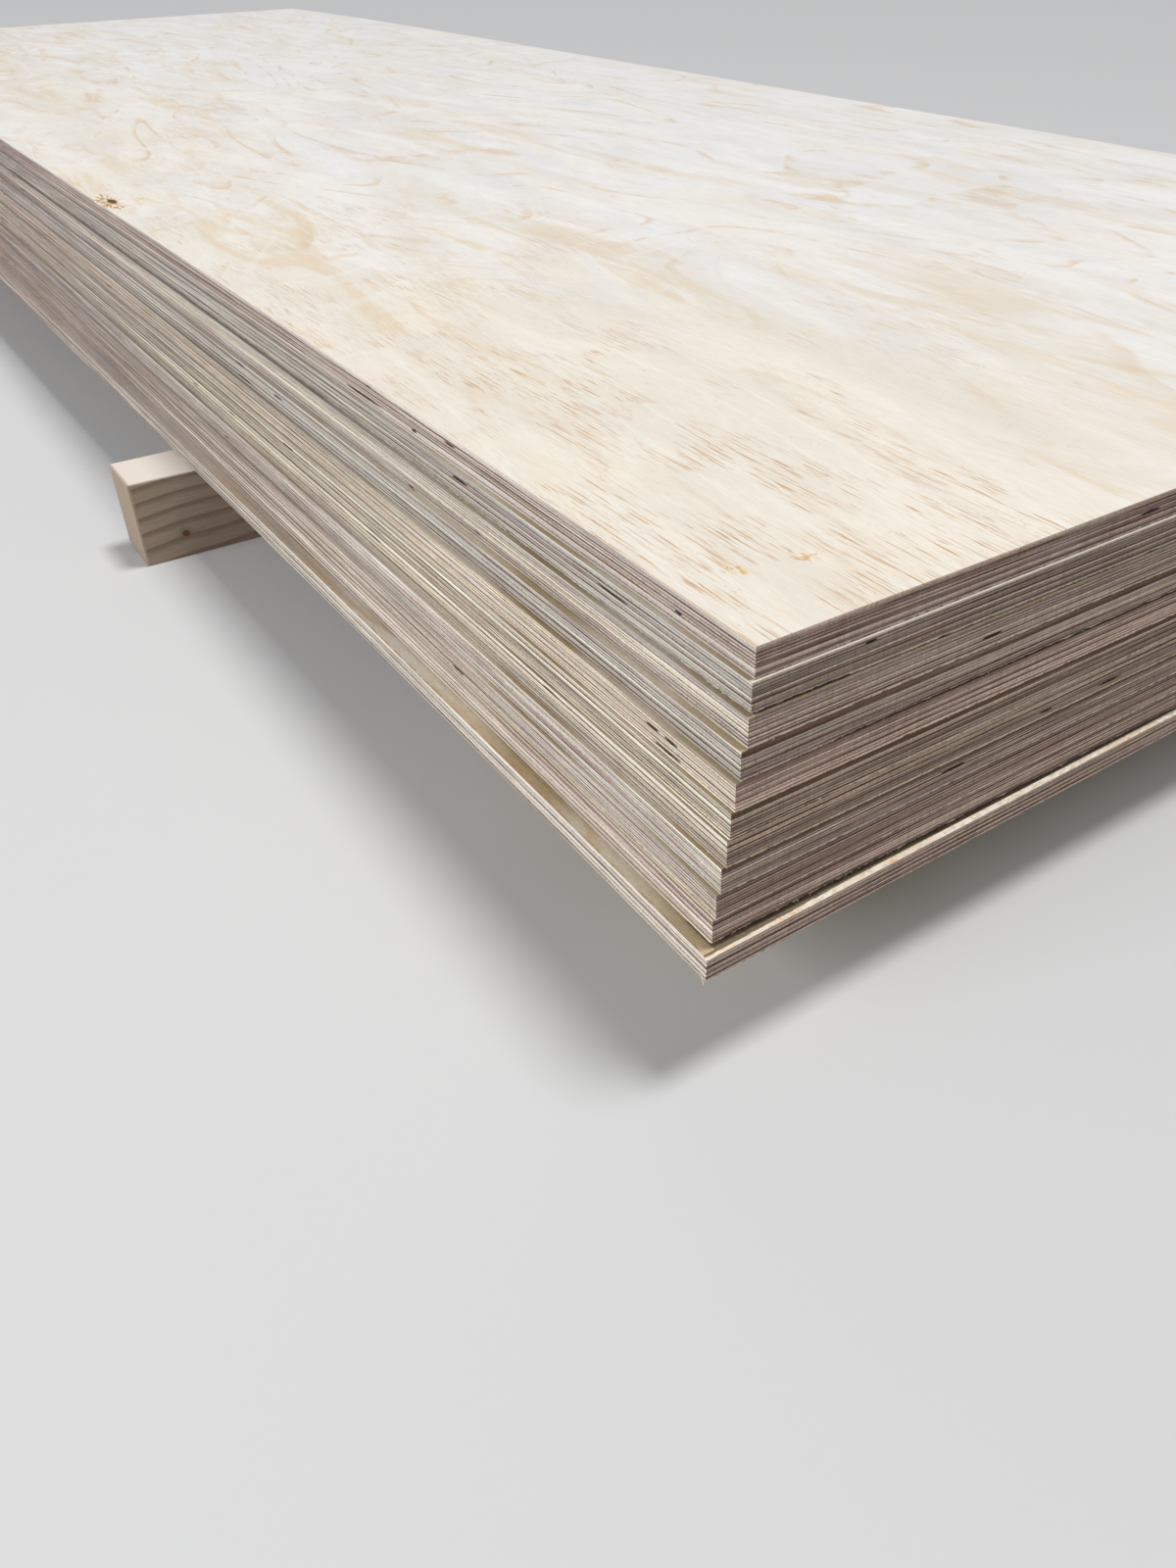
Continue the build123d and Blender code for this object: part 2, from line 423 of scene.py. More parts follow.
def face_veneer(settings, name, corner):
    """Sanded pine veneer: cream ground, honey figure along the grain, fine resin streaks."""
    wood = Wood(name)
    spot = wood.place(corner)
    x, y, _ = wood.split(spot)
    near = wood.ramp(wood.distance(wood.join(x, y), scale=(1.0, 0.7, 1.0)), 0.95, 0.05)

    # Cream by the near corner and the left edge, whiter further off under a painted sheen of
    # reflected sky, clouded all over
    cloud = wood.noise(spot, (9.0, 2.8, 1.0), 5.0, 0.65, 0.9)
    cream = wood.plus(
        wood.ramp(near, 0.35, 1.0, 0.0, -0.43), wood.ramp(x, 0.5, 0.1, 0.0, -0.14)
    )
    white = wood.ramp(wood.plus(wood.times(cloud, 0.8), cream), 0.10, 0.50)
    wood.base = wood.mix(white, settings.face_cream, settings.face_sheen_white)
    grey = wood.noise(spot, (13.0, 3.6, 1.0), 4.0, 0.6, 1.2)
    wood.lighten(wood.ramp(grey, 0.30, 0.70, 0.945, 1.045))

    # Honey figure in long wisps, strongest along the left side
    wisp = wood.noise(spot, (19.0, 3.6, 1.0), 5.0, 0.62, 1.0)
    patch = wood.noise(spot, (3.4, 1.2, 1.0), 2.0, 0.5, 0.3)
    honey = wood.times(wood.ramp(wisp, 0.49, 0.64), wood.ramp(patch, 0.36, 0.60))
    wood.paint(settings.face_honey, honey, wood.ramp(x, 0.1, 0.8, 0.64, 0.36))

    # Growth rings, which a peeled veneer shows as long wandering lines
    field = wood.noise(spot, (2.8, 1.0, 1.0), 2.0, 0.5, 0.8)
    ring = wood.math("FRACT", wood.times(field, 13.0))
    line = wood.band(ring, 0.30, 0.485, 0.49, 0.53)
    broken = wood.ramp(wood.noise(spot, (26.0, 9.0, 1.0), 4.0, 0.7), 0.44, 0.62)
    wood.paint(RING_DARK, line, broken, wood.ramp(near, 0.0, 0.8, 0.62, 0.25))
    wood.paint(RING_PALE, wood.band(ring, 0.80, 0.90, 0.93, 1.0), 0.25)

    # Short resin streaks along the grain, gathered in drifts and thickest by the corner
    streak = wood.noise(spot, (820.0, 24.0, 1.0), 3.0, 0.6)
    drift = wood.noise(spot, (15.0, 8.0, 1.0), 3.0, 0.6, 0.4)
    drift = wood.plus(drift, wood.times(near, 0.095), wood.ramp(x, 0.10, 0.5, 0.0, -0.065))
    streaks = wood.times(wood.ramp(streak, 0.56, 0.62), wood.ramp(drift, 0.52, 0.62))
    wood.paint(settings.face_resin, streaks, wood.ramp(near, 0.4, 1.0, 0.55, 0.95))
    faint = wood.ramp(wood.noise(spot, (520.0, 32.0, 1.0), 3.0, 0.65), 0.50, 0.68)
    wood.paint(settings.face_honey, faint, wood.ramp(drift, 0.44, 0.62), 0.38)
    speck = wood.ramp(wood.noise(spot, (800.0, 260.0, 1.0), 1.0), 0.66, 0.72)
    rare = wood.ramp(wood.noise(spot, (60.0, 60.0, 1.0), 1.0), 0.62, 0.70)
    wood.paint(settings.face_resin, speck, rare, 0.6)
    fibre = wood.noise(spot, (1300.0, 60.0, 1.0), 2.0, 0.6)
    wood.lighten(wood.ramp(fibre, 0.25, 0.75, 0.94, 1.04))
    return wood, fibre, spot


def top_face(settings, corner):
    """Face of the top sheet, with its resin pockets, its golden edge and its open knot."""
    wood, fibre, spot = face_veneer(settings, "pine_top_face", corner)
    x, y, _ = wood.split(spot)
    flat = wood.join(x, y)
    dots = wood.ramp(wood.noise(spot, (330.0, 200.0, 1.0), 2.0, 0.5, 0.5), 0.5, 0.58)
    for centre, radius in RESIN_POCKETS:
        pocket = wood.ramp(wood.distance(flat, centre), radius, 0.35 * radius)
        wood.paint(POCKET_ORANGE, pocket, dots, 0.8)

    # Golden rim of fresh wood along the long edge, strongest at the corner
    wood.paint(RIM_GOLD, wood.ramp(x, 0.0018, 0.0008), wood.ramp(y, 0.14, 0.01), 0.8)

    # Torn pink hollow of the edge knot
    reach = settings.knot_reach
    hollow = wood.distance(flat, (0.0, settings.knot_place - 0.008, 0.0), (1.0, 0.4, 1.0))
    torn = wood.ramp(wood.noise(spot, (300.0, 110.0, 1.0), 3.0, 0.6), 0.35, 0.6, 0.3, 0.8)
    wood.paint(KNOT_PINK, wood.ramp(hollow, reach * 0.85, reach * 0.5), torn)

    # Pale cleared fibres and golden strands round the knot's brown heart
    heart = wood.vector("SUBTRACT", flat, (reach * 1.15, settings.knot_place - 0.003, 0.0))
    heart = wood.stretch(heart, (1.0, 0.36, 1.0))
    away = wood.distance(heart)
    outward = wood.vector("NORMALIZE", heart)

    def strands(turns, spread, distortion):
        """Noise in strands that run out from the heart."""
        place = wood.stretch(outward, (turns, turns, 1.0))
        place = wood.vector("ADD", place, wood.stretch(spot, (spread, spread, spread)))
        return wood.noise(place, (1, 1, 1), 2.0, 0.6, distortion)

    cleared = wood.ramp(strands(3.5, 40.0, 0.5), 0.44, 0.50)
    wood.paint(KNOT_PALE, wood.ramp(away, reach * 1.7, reach * 1.0), cleared)
    golden = wood.ramp(strands(4.5, 60.0, 0.8), 0.49, 0.54)
    lopsided = wood.ramp(x, reach * 1.9, reach * 1.1, 0.25, 1.0)
    wood.paint(KNOT_GOLD, wood.ramp(away, reach * 1.5, reach * 0.9), golden, lopsided)
    wood.paint(KNOT_HEART, wood.ramp(away, 0.0062, 0.0034))
    return wood.finish(fibre, 0.6, FACE_RELIEF)


def shaded_ledge_face(settings, name, near_shade, side_shade, ledge):
    """Face that shows only as a ledge, in painted shade: tan and dimmed by the long side, dark
    under the pile's near end.
    """
    wood, fibre, spot = face_veneer(settings, name, (0.7, -0.4, 0.0))
    across, _, _ = wood.split(wood.edge_map())
    half = PATTERN_STEP / 2
    across = wood.math("FLOORED_MODULO", wood.plus(across, half), PATTERN_STEP)
    across = wood.minus(across, half)
    _, y, _ = wood.split(wood.place())
    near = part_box(BASE_NODE)[0].y + NEAR_SHADE
    shade_blotch = wood.noise(spot, (260.0, 260.0, 1.0), 3.0, 0.7)
    ground = wood.base

    # Tan wood dimmed by painted shade, with a painted shadow by the corner and a darker stain a
    # little further along
    wood.lighten(wood.ramp(shade_blotch, 0.3, 0.7, side_shade * 0.92, side_shade * 1.06))
    wood.tint(LEDGE_TAN)
    stain = wood.band(y, near + 0.10, near + 0.15, near + 0.18, near + 0.25)
    wood.tint(LEDGE_SHADOW_AND_STAIN, wood.larger(stain, wood.ramp(y, near + 0.06, near - 0.01)))

    # Grey streaky wood further off, much like the sawn edges beside it
    tan = wood.base
    streak = wood.noise(spot, (520.0, 3.0, 1.0), 2.0, 0.6)
    wood.lighten(wood.ramp(streak, 0.35, 0.65, 0.80, 1.12))
    wood.tint(LEDGE_GREY)
    side = wood.mix(wood.ramp(y, near + 0.24, near + 0.62), tan, wood.base)

    # Dark olive painted shade under the near end
    wood.base = ground
    wood.lighten(wood.ramp(shade_blotch, 0.35, 0.65, near_shade * 0.7, near_shade))
    wood.tint(LEDGE_SHADE_OLIVE)
    inside = wood.times(
        wood.ramp(y, near + 0.002, near), wood.ramp(across, ledge, ledge + 0.001)
    )
    wood.base = wood.mix(inside, side, wood.base)
    return wood, fibre, across


def sheet_face(settings):
    """Faces of the sheets inside the pile, in painted shade, save the second sheet's near end,
    painted as lit.
    """
    wood, fibre, _ = shaded_ledge_face(settings, "pine_inner_face", 0.42, 0.90, 0.0045)
    across, _, _ = wood.split(wood.edge_map())
    second = wood.math("COMPARE", across, 2 * PATTERN_STEP + 0.6, 0.7)
    _, y, _ = wood.split(wood.place())
    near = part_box(SHEET_NODES[1])[0].y
    # Painted light: the second sheet's ledge at its near end gets the lit cream colour
    wood.paint(settings.face_cream, second, wood.ramp(y, near + 0.004, near + 0.003), 0.8)
    return wood.finish(fibre, 0.7, FACE_RELIEF)


def base_face(settings):
    """Face of the base sheet, with an orange rim along its open ledge."""
    wood, fibre, across = shaded_ledge_face(settings, "pine_base_face", 0.30, 0.98, 0.0078)
    orange = wood.ramp(wood.noise(wood.place(), (50.0, 50.0, 1.0), 3.0, 0.6), 0.42, 0.60)
    wood.paint(LEDGE_ORANGE, wood.ramp(across, 0.0016, 0.0010), orange, 0.7)
    return wood.finish(fibre, 0.7, FACE_RELIEF)


def torn_veneer(plan=None):
    """Fresh torn wood, cream with orange flecks. On a sheet, painted shade covers it past a ragged
    line, so the lit strip narrows to the corner.
    """
    wood = Wood("torn_veneer")
    spot = wood.place()
    fleck = wood.noise(spot, (160.0, 420.0, 1.0), 3.0, 0.65, 0.4)
    gather = wood.noise(spot, (14.0, 14.0, 1.0))
    wood.base = wood.mix(wood.ramp(fleck, 0.35, 0.6), TORN_TAN, TORN_CREAM)
    wood.paint(TORN_ORANGE, wood.ramp(fleck, 0.50, 0.60), wood.ramp(gather, 0.42, 0.58), 0.8)
    if plan:
        spot = wood.vector("SUBTRACT", spot, (*plan.corner, 0.0))
        x = wood.vector("DOT_PRODUCT", spot, (*plan.across, 0.0))
        y = wood.vector("DOT_PRODUCT", spot, (*plan.along, 0.0))
        # Painted shade beyond a ragged line, where the pile above shades the strip
        ragged = wood.noise(spot, (150.0, 150.0, 1.0), 3.0, 0.6)
        rim = wood.plus(wood.ramp(x, 0.0, 0.15, 0.0016, 0.0034), wood.times(ragged, 0.0018))
        wood.paint(TORN_SHADE, wood.ramp(wood.minus(y, rim), 0.0, 0.0003))
    return wood.finish(fleck, 0.8, 0.0006)


class SawnEdge(Wood):
    """Laminated edge: plies of side grain and end grain by turns, with glue lines and voids."""

    def __init__(self, name, settings, end_cut, thickness):
        super().__init__(name)
        self.settings = settings
        self.end_cut = end_cut
        self.ply = thickness / settings.ply_count
        self.along, self.depth, _ = self.split(self.edge_map())
        steps = self.math("DIVIDE", self.plus(self.along, PATTERN_STEP / 2), PATTERN_STEP)
        self.sheet = self.math("FLOOR", steps)
        self.layer = self.minus(self.math("DIVIDE", self.depth, self.ply), 0.04)
        self.number = self.math("FLOOR", self.layer)
        self.share = self.math("FRACT", self.layer)
        self.own = self.plus(self.times(self.sheet, 31.7), self.times(self.number, 7.3))

        # The long edges grow calmer and greyer away from the near end
        away = self.minus(self.along, self.times(self.sheet, PATTERN_STEP))
        self.away = self.math("ABSOLUTE", away)
        self.far = 0.0 if end_cut else self.ramp(self.away, 0.5, 1.6)
        self.calm = self.math("MULTIPLY_ADD", self.far, -0.65, 1.0)

    def run(self, along_scale, depth_scale, detail=2.0, roughness=0.55, salt=0.0, by_ply=True):
        """Noise over the edge, stretched along it, of its own in each ply unless told."""
        salt = self.plus(self.own, salt) if by_ply else salt
        place = self.join(self.along, self.depth, salt)
        return self.noise(place, (along_scale, depth_scale, 1.0), detail, roughness)

    def chance(self, salt):
        """Random number from 0 to 1 for each ply of each sheet."""
        node = self.add("ShaderNodeTexWhiteNoise", noise_dimensions="3D")
        self.feed(node.inputs["Vector"], self.join(self.number, self.sheet, salt))
        return node.outputs["Value"]

    def only(self, value, wanted):
        """1 where a whole number has the wanted value."""
        return self.math("COMPARE", value, wanted, 0.5)

    def paint_plies(self):
        """Tone of each ply, which drifts slowly along the edge."""
        look = self.settings
        drift = self.minus(self.ramp(self.run(2.4, 0.0, 3.0), 0.3, 0.7), 0.5)
        tone = self.math("MULTIPLY_ADD", drift, 0.7, self.chance(3.0))
        other = self.math("MULTIPLY_ADD", drift, 0.5, self.chance(5.0))
        side_grain = self.mix(self.ramp(tone, 0.45, 1.0), look.side_pale, look.side_mauve)
        end_grain = self.mix(self.ramp(tone, 0.15, 0.85), look.side_beige, look.side_yellow)
        pale = self.ramp(other, 0.70, 0.95, 0.0, 0.7)
        end_grain = self.mix(pale, end_grain, look.side_pale)
        odd = self.math("MODULO", self.number, 2.0)
        self.is_end = self.minus(1.0, odd) if self.end_cut else odd
        plain = self.base = self.mix(self.is_end, side_grain, end_grain)
        darkest, brightest = (0.60, 1.38) if self.end_cut else (0.75, 1.22)
        self.lighten(self.ramp(self.chance(11.0), 0.0, 1.0, darkest, brightest))
        self.base = self.mix(self.calm, plain, self.base)

    def paint_grain(self):
        """Long lines of the side grain, pores and short fibres of the end grain."""
        lines = self.run(5.0, 1150.0, 3.0, 0.62)
        self.hairs = self.run(34.0, 2700.0, 2.0, 0.6, 4.0)
        pores = self.run(620.0, 950.0, 2.0, 0.62, 9.0)
        clumps = self.run(45.0, 500.0, 2.0, 0.5, 17.0)
        low, high = (0.36, 1.80) if self.end_cut else (0.56, 1.42)
        self.fine = self.times(
            self.ramp(lines, 0.32, 0.68, low, high), self.ramp(self.hairs, 0.32, 0.68, 0.84, 1.14)
        )
        rough = self.times(
            self.ramp(pores, 0.30, 0.56, 0.55, 1.12),
            self.ramp(lines, 0.30, 0.70, 0.76, 1.22),
            self.ramp(clumps, 0.30, 0.70, 0.88, 1.10),
        )
        fine = self.join(self.fine, self.fine, self.fine)
        self.tint(self.mix(self.is_end, fine, self.join(rough, rough, rough)))

    def paint_lines(self):
        """Crisp thin lines, and glue lines that fade in and out along the edge."""
        look = self.settings
        thin = self.run(3.0, 1700.0, 1.0, 0.5, 26.0)
        self.paint(look.edge_white, self.ramp(thin, 0.60, 0.65, 0.0, 0.85), self.calm)
        self.paint(look.edge_glue, self.ramp(thin, 0.38, 0.33, 0.0, 0.85))

        # A glue line is mauve-brown, bright or hardly there, and partly painted shade where a ply
        # stands back
        kind = self.chance(8.0)
        start = 0.50 if self.end_cut else 0.58
        mauve = self.times(
            self.ramp(self.share, start, start + 0.14), self.ramp(kind, 0.52, 0.48, 0.20, 0.95)
        )
        strength = self.ramp(self.run(7.0, 0.0, 3.0, 0.6, 13.0), 0.36, 0.56, 0.15, 1.0)
        self.paint(look.edge_glue, mauve, strength)
        # Pale line at the top of a ply: partly fresh fibre, partly a painted highlight on its lip
        bright = self.times(
            self.ramp(self.share, 0.50, 0.30), self.ramp(kind, 0.38, 0.44, 0.25, 0.95)
        )
        fresh = self.ramp(self.run(6.0, 0.0, 3.0, 0.6, 21.0), 0.38, 0.58, 0.1, 1.0)
        self.paint(look.edge_white, bright, self.calm, fresh, 0.85)

    def paint_end_marks(self):
        """Dark smooth plies at the top of some sheets, one orange line, pale frayed fibres."""
        even = self.only(self.math("MODULO", self.sheet, 2.0), 0.0)
        middle = self.band(self.sheet, 3.4, 3.6, 8.4, 8.6)
        wave = self.times(self.run(9.0, 0.0, 2.0, 0.5, 60.0, by_ply=False), 0.8)
        band = self.ramp(self.plus(self.layer, wave), 2.3, 1.9)
        uneven = self.run(3.0, 260.0, 2.0, 0.5, 61.0, by_ply=False)
        uneven = self.ramp(uneven, 0.28, 0.42, 0.6, 1.0)
        self.paint(self.settings.edge_brown, even, middle, band, uneven)
        orange = self.times(self.only(self.sheet, 9.0), self.only(self.number, 3.0))
        self.paint(END_ORANGE, orange, self.ramp(self.share, 0.5, 0.3), 0.6)
        lowest = self.only(self.number, self.settings.ply_count - 1.0)
        frayed = self.ramp(self.run(200.0, 300.0, 3.0, 0.7, 70.0), 0.44, 0.52)
        self.paint(
            self.settings.edge_white, lowest, self.ramp(self.share, 0.25, 0.45), frayed, 0.9
        )

    def paint_side_marks(self):
        """Maroon lines on the lowest pile sheet, a reddish stain in the second, and tone along the
        edge.
        """
        maroon = self.band(self.depth, 0.0009, 0.0014, 0.0026, 0.0033)
        self.paint(SIDE_MAROON, self.only(self.sheet, 10.0), maroon, 0.7)
        place = self.minus(2 * PATTERN_STEP, self.along)
        stain = self.band(place, 0.09, 0.14, 0.30, 0.52)
        stained = self.times(self.only(self.sheet, 2.0), self.only(self.number, 3.0))
        self.paint(SIDE_RED, stain, stained, self.ramp(self.hairs, 0.4, 0.6, 0.2, 0.75))

        # Lighter low down by the near end, greyer and faintly mauve further off
        low_down = self.ramp(self.sheet, 2.5, 8.0, 0.0, 0.17)
        lighter_low = self.times(self.ramp(self.away, 1.0, 0.2), low_down)
        self.lighten(self.plus(lighter_low, 1.0))
        self.tint(SIDE_MAUVE, self.ramp(self.away, 0.5, 1.8))

    def paint_shaded_voids(self):
        """Painted shade where a ply stands back, in gaps between core veneers, and in torn wood."""
        recess_shade = self.larger(self.ramp(self.share, 0.90, 0.94), self.ramp(self.share, 0.05, 0.02))
        self.paint(self.settings.edge_glue, recess_shade, 0.9 if self.end_cut else 0.7)

        # Painted shade in small gaps all over, and in the ones seen in place
        ragged = self.times(self.run(420.0, 900.0, 2.0, 0.6, 80.0, by_ply=False), 0.9)
        small = self.plus(self.run(15.0, 120.0, 1.0, 0.5, 33.0), self.times(self.far, 0.035))
        within = self.band(self.share, 0.10, 0.28, 0.74, 0.92)
        self.void = self.times(self.ramp(small, 0.765, 0.79), within)
        spot = self.join(self.along, self.depth)
        for sheet, distance, ply, size in END_GAPS if self.end_cut else SIDE_GAPS:
            along = sheet * PATTERN_STEP + (distance if self.end_cut else -distance)
            centre = (along, (ply + 0.5) * self.ply, 0.0)
            away = self.distance(spot, centre, (2 / size, 2 / (0.85 * self.ply), 1.0))
            gap = self.ramp(self.plus(away, ragged), 1.55, 1.30)
            self.void = self.larger(self.void, gap)
        # Painted shade in the slot of the torn lowest veneer
        torn = self.add("ShaderNodeAttribute", attribute_type="GEOMETRY", attribute_name=TORN)
        torn = self.plus(torn.outputs["Fac"], self.times(ragged, 0.25))
        self.void = self.larger(self.void, self.ramp(torn, 0.86, 1.0))
        self.paint(self.settings.edge_void_shade, self.void)

    def paint_tone(self):
        """Saw marks across the plies, and the tone of each whole edge."""
        place = self.join(self.along, self.depth, 52.0)
        self.mark = self.noise(place, (620.0, 45.0, 1.0), 2.0, 0.6, 1.2)
        tone = self.noise(self.join(self.along, self.depth, self.sheet), (1.3, 60.0, 5.1))
        low, high = (0.86, 1.10) if self.end_cut else (0.95, 1.05)
        self.lighten(self.ramp(self.mark, 0.3, 0.7, low, high))
        self.lighten(self.ramp(tone, 0.3, 0.7, 0.88, 1.10))
        for sheet, shade in SHEET_TINTS.items():
            self.tint(shade, self.only(self.sheet, sheet))
        if self.end_cut:
            self.tint(self.settings.end_tint)


def sawn_edge(name, settings, end_cut, thickness):
    """Material of the sheets' long edges or of their ends."""
    edge = SawnEdge(name, settings, end_cut, thickness)
    edge.paint_plies()
    edge.paint_grain()
    edge.paint_lines()
    if end_cut:
        edge.paint_end_marks()
    else:
        edge.paint_side_marks()
    edge.paint_shaded_voids()
    edge.paint_tone()
    relief = edge.math("MULTIPLY_ADD", edge.mark, 0.4, edge.times(edge.fine, 0.6))
    return edge.finish(edge.minus(relief, edge.void), 0.85, 0.0003)


def timber(settings, name, low, high):
    """Sawn softwood: pale planed top, faint growth lines on the sides in colours darkened by
    painted shade, granular end grain.
    """
    wood = Wood(name)
    spot = wood.place()
    x, y, z = wood.split(spot)

    # Growth rings round a pith under the timber
    bend = wood.noise(spot, (4.0, 6.0, 3.0))
    pith = wood.join(0.0, wood.minus(y, low.y + 0.15), wood.plus(z, 0.10))
    taper = wood.times(wood.minus(x, low.x), -0.05)
    rings = wood.plus(wood.distance(pith), wood.times(bend, 0.03), taper)
    ring = wood.math("FRACT", wood.times(rings, 82.0))
    late = wood.band(ring, 0.40, 0.86, 0.92, 1.0)
    fibre = wood.noise(spot, (30.0, 700.0, 700.0), 3.0, 0.65)
    upward = wood.ramp(z, high.z - 0.003, high.z - 0.0005)
    at_end = wood.ramp(wood.math("ABSOLUTE", x), high.x - 0.003, high.x - 0.001)
    fainter = wood.plus(wood.times(upward, 0.52), wood.times(at_end, 0.45))
    strength = wood.math("SUBTRACT", 0.62, fainter, clamp=True)
    # Sides in growth-ring colours that carry painted shade, the top painted pale
    wood.base = wood.mix(wood.times(late, strength), settings.early_wood_in_shade, settings.late_wood_in_shade)
    wood.lighten(wood.ramp(fibre, 0.3, 0.7, 0.86, 1.08))
    wood.paint(settings.planed_wood, upward, 0.8)

    # A dark knot on the near face
    away = wood.distance(spot, (low.x + 0.048, low.y, low.z + 0.0267), (1.0, 0.2, 1.2))
    wood.paint(settings.late_wood_in_shade, wood.ramp(away, 0.012, 0.005), 0.35)
    wood.paint(settings.knot_wood, wood.ramp(away, 0.0052, 0.0032, 0.0, 0.92))

    # Granular end grain
    pits = wood.noise(spot, (900.0, 480.0, 480.0), 3.0, 0.7)
    grainy = wood.brightness(settings.end_wood, wood.ramp(pits, 0.3, 0.7, 0.78, 1.16))
    wood.paint(grainy, at_end, 0.75)
    return wood.finish(wood.plus(fibre, wood.times(pits, 0.7)), 0.8, 0.0005)


class SheetPlan:
    """Where a packed sheet lies: its corner, turn, size, level and end droop."""

    def __init__(self, node):
        points = [v.co.copy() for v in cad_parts[node].data.vertices]
        near_left = min(points, key=lambda p: p.x + p.y).xy
        near_right = max(points, key=lambda p: p.x - p.y).xy
        far_left = min(points, key=lambda p: p.x - p.y).xy
        self.corner = near_left
        self.width = (near_right - near_left).length
        self.length = (far_left - near_left).length
        self.across = (near_right - near_left).normalized()
        self.along = (far_left - near_left).normalized()
        self.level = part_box(node)[1].z
        self.near_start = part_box("bearer_near")[0].y
        self.far_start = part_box("bearer_far")[1].y
        near_top = max(p.z for p in points if (p.xy - near_left).length < CORNER_REACH)
        far_corner = [p.z for p in points if (p.xy - far_left).length < CORNER_REACH]
        far_top = max(far_corner)
        self.thickness = far_top - min(far_corner)
        self.near_radius = self.radius(self.near_start - near_left.y, self.level - near_top)
        self.far_radius = self.radius(far_left.y - self.far_start, self.level - far_top)

    @staticmethod
    def radius(reach, drop):
        """Radius of an arc that starts level and falls by the drop over the reach."""
        return (reach**2 + drop**2) / (2 * drop)

    def height(self, y):
        """Level of the sheet's face at a place along the pile."""
        if y < self.near_start:
            reach = self.near_start - y
            return self.level - self.near_radius + math.sqrt(self.near_radius**2 - reach**2)
        if y > self.far_start:
            reach = y - self.far_start
            return self.level - self.far_radius + math.sqrt(self.far_radius**2 - reach**2)
        return self.level

    def point(self, x, y, z):
        """Place in the frame of a spot x across, y along and z above the sheet's face."""
        spot = self.corner + self.across * x + self.along * y
        return Vector((spot.x, spot.y, self.height(spot.y) + z))


def stations(total, first_step, last_step, spread):
    """Places along an edge, close together at its near end and wider apart over a spread."""
    places = [0.0]
    while places[-1] < total - last_step:
        share = min(1.0, places[-1] / spread)
        places.append(places[-1] + first_step + (last_step - first_step) * share)
    return places + [total]


def ply_rows(settings, thickness):
    """Rows down a sheet's edge: each ply's upper and lower line, as (ply, glue line, depth)."""
    count = settings.ply_count
    rows = [(-1, 0, 0.0)]
    for ply in range(count):
        upper = ply * thickness / count if ply else settings.arris
        lower = (ply + 1) * thickness / count if ply < count - 1 else thickness - settings.arris
        rows += [(ply, ply, upper), (ply, ply + 1, lower)]
    rows.append((-1, count, thickness))
    return rows


def flat_sheet(plan, rows, extra):
    """Sheet of plies lying flat at the origin, with a skirt of faces down its edges."""
    lengthways = sorted(set(stations(plan.length, *LONG_STEPS) + extra))
    bm = bmesh.new()
    bmesh.ops.create_grid(bm, x_segments=1, y_segments=len(lengthways) - 1, size=0.5)
    for vertex in bm.verts:
        vertex.co.y = lengthways[round((vertex.co.y + 0.5) * (len(lengthways) - 1))]
        vertex.co.x = plan.width if vertex.co.x > 0 else 0.0
    ends = {
        0.0: stations(plan.width, *NEAR_STEPS),
        plan.length: stations(plan.width, *FAR_STEPS),
    }
    for end, places in ends.items():
        edge = [e for e in bm.edges if all(abs(v.co.y - end) < TOUCH for v in e.verts)]
        made = bmesh.ops.bisect_edges(bm, edges=edge, cuts=len(places) - 2)["geom_split"]
        new = sorted((g for g in made if isinstance(g, bmesh.types.BMVert)), key=lambda v: v.co.x)
        new = [v for v in new if TOUCH < v.co.x < plan.width - TOUCH]
        for vertex, place in zip(new, places[1:-1]):
            vertex.co.x = place
    row_layer = bm.verts.layers.int.new("row")
    cap = list(bm.faces)
    edges = [e for e in bm.edges if e.is_boundary]
    for index, (_, _, depth) in enumerate(rows[1:], 1):
        made = bmesh.ops.extrude_edge_only(bm, edges=edges)["geom"]
        for vertex in (g for g in made if isinstance(g, bmesh.types.BMVert)):
            vertex.co.z = -depth
            vertex[row_layer] = index
        edges = [g for g in made if isinstance(g, bmesh.types.BMEdge) and g.is_boundary]
    under = bmesh.ops.duplicate(bm, geom=cap)["geom"]
    for vertex in (g for g in under if isinstance(g, bmesh.types.BMVert)):
        vertex.co.z = -plan.thickness
        vertex[row_layer] = len(rows) - 1
    last = [v for v in bm.verts if v[row_layer] == len(rows) - 1]
    bmesh.ops.remove_doubles(bm, verts=last, dist=TOUCH)
    return bm


def lay_pattern(bm, plan, seed, torn_width):
    """Materials and pattern coordinates: distance round the sheet, and depth below its face."""
    uv = bm.loops.layers.uv.new(EDGE_MAP)
    for face in bm.faces:
        xs = [v.co.x for v in face.verts]
        ys = [v.co.y for v in face.verts]
        if max(ys) - min(ys) < TOUCH:
            face.material_index = END_EDGE
        elif max(xs) - min(xs) < TOUCH:
            face.material_index = LONG_EDGE
        elif max(ys) < torn_width + TOUCH and face.verts[0].co.z > -TOUCH:
            face.material_index = TORN_STRIP
        for loop in face.loops:
            x, y, z = loop.vert.co
            place = x
            if face.material_index == END_EDGE and ys[0] > TOUCH:
                place = -plan.length - x
            elif face.material_index == LONG_EDGE:
                place = -y if xs[0] < TOUCH else plan.width + y
            loop[uv].uv = (place + seed, -z)


